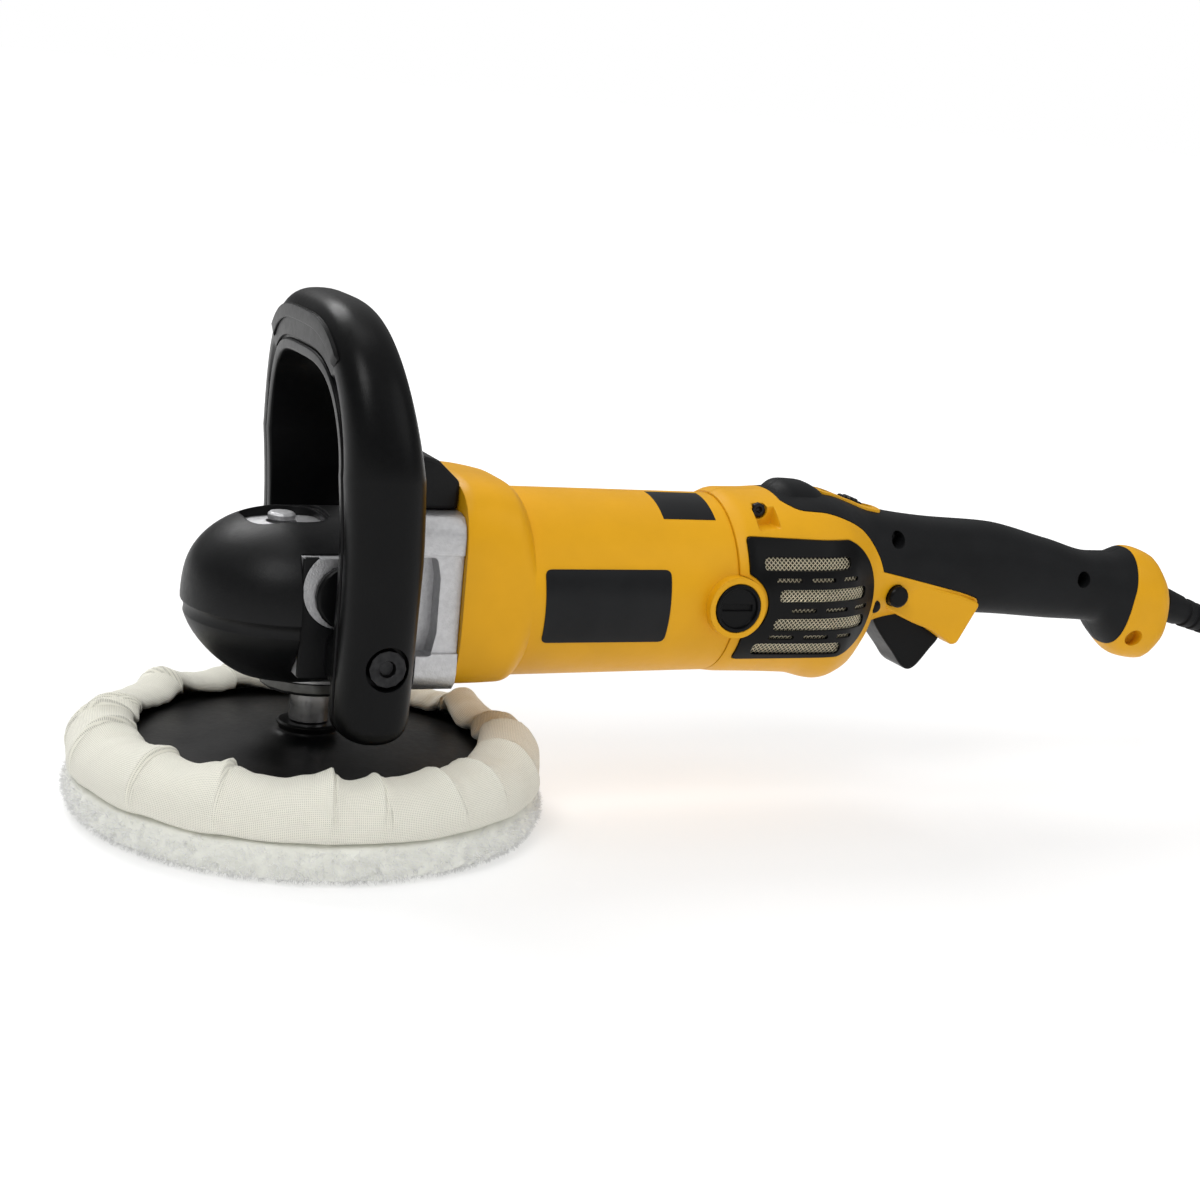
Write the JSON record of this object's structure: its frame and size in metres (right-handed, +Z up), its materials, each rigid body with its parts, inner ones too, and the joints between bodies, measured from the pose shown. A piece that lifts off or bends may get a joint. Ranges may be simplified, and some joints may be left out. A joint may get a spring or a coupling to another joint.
{
  "type": "rotary_polisher",
  "caption": "Corded rotary polisher with a bail handle over the gear head, a yellow motor body, a black tail grip with trigger and a wool pad in a gathered cloth bonnet",
  "frame": {"origin": "on the spindle axis, in the plane of the pad's working face", "axes": "+Z up along the spindle, +X along the motor towards the tail grip, -Y on the side with the lock-on button"},
  "size_m": [0.8214, 0.2125, 0.2303],
  "materials": {
    "yellow": "moulded, fine grain",
    "rubber": "matt",
    "alloy": "as cast",
    "black": "moulded",
    "copper": "copper, turned and wound",
    "brass": "plain",
    "carbon": "pressed carbon",
    "mesh": "woven wire",
    "cloth": "muslin",
    "wool": "wool pile",
    "steel": "machined"
  },
  "bodies": {
    "tool": {"bail_bolt_left": "steel", "bail_bolt_right": "steel", "bail_handle": "black", "bearing_retainer": "steel", "brush_cap_left": "black", "brush_cap_right": "black", "brush_holder_left": "brass", "brush_holder_right": "brass", "carbon_brush_left": "carbon", "carbon_brush_right": "carbon", "cord_boot": "rubber", "cord_coil": "rubber", "cord_tie": "rubber", "filter_frame_left": "black", "filter_frame_right": "black", "filter_mesh_left": "mesh", "filter_mesh_right": "mesh", "flange_screw_1": "steel", "flange_screw_2": "steel", "flange_screw_3": "steel", "flange_screw_4": "steel", "front_motor_bearing": "steel", "gear_case": "alloy", "gear_case_boot": "rubber", "grip_left": "rubber", "grip_right": "rubber", "handle_end_cap": "yellow", "handle_screw_1": "steel", "handle_screw_2": "steel", "handle_screw_3": "steel", "lower_spindle_bearing": "steel", "motor_housing": "yellow", "plug_blade_1": "brass", "plug_blade_2": "brass", "plug_body": "rubber", "power_cord": "rubber", "rear_housing_left": "yellow", "rear_housing_right": "yellow", "rear_motor_bearing": "steel", "side_port_plug_left": "black", "side_port_plug_right": "black", "stator": "copper", "switch_body": "black", "upper_spindle_bearing": "steel"},
    "spindle_group": {"spindle": "steel", "ring_gear": "steel", "spindle_lock_ring": "steel", "backing_plate": "rubber", "pad_nut": "steel", "bonnet_skirt": "cloth", "wool_pile": "wool"},
    "armature_group": {"armature_shaft": "steel", "armature_core": "steel", "commutator": "copper", "cooling_fan": "black", "pinion_gear": "steel"},
    "trigger_group": {"trigger": "black"},
    "lock_on_group": {"lock_on_button": "black"},
    "dial_group": {"speed_dial": "black"},
    "spindle_lock_group": {"spindle_lock_button": "alloy"}
  },
  "joints": [
    {"name": "spindle_spin", "type": "hinge", "parent": "tool", "child": "spindle_group", "pos_m": [0, 0, 0.063], "axis": [0, 0, 1], "continuous": true},
    {"name": "armature_spin", "type": "hinge", "parent": "tool", "child": "armature_group", "pos_m": [0.1, 0, 0.104], "axis": [1, 0, 0], "continuous": true},
    {"name": "trigger_pull", "type": "hinge", "parent": "tool", "child": "trigger_group", "pos_m": [0.2725, 0, 0.0945], "axis": [0, -1, 0], "range_deg": [0, 8], "stiffness_Nm_per_rad": 3},
    {"name": "lock_on_press", "type": "slide", "parent": "tool", "child": "lock_on_group", "axis": [0, 1, 0], "range_m": [0, 0.003], "stiffness_N_per_m": 900},
    {"name": "speed_dial_turn", "type": "hinge", "parent": "tool", "child": "dial_group", "pos_m": [0.255, 0, 0.134], "axis": [0, 1, 0], "range_deg": [0, 250]},
    {"name": "spindle_lock_press", "type": "slide", "parent": "tool", "child": "spindle_lock_group", "axis": [0, 0, -1], "range_m": [0, 0.0035], "stiffness_N_per_m": 1200}
  ],
  "couplings": [
    {"joint": "armature_spin", "follows": "spindle_spin", "ratio": 4}
  ]
}
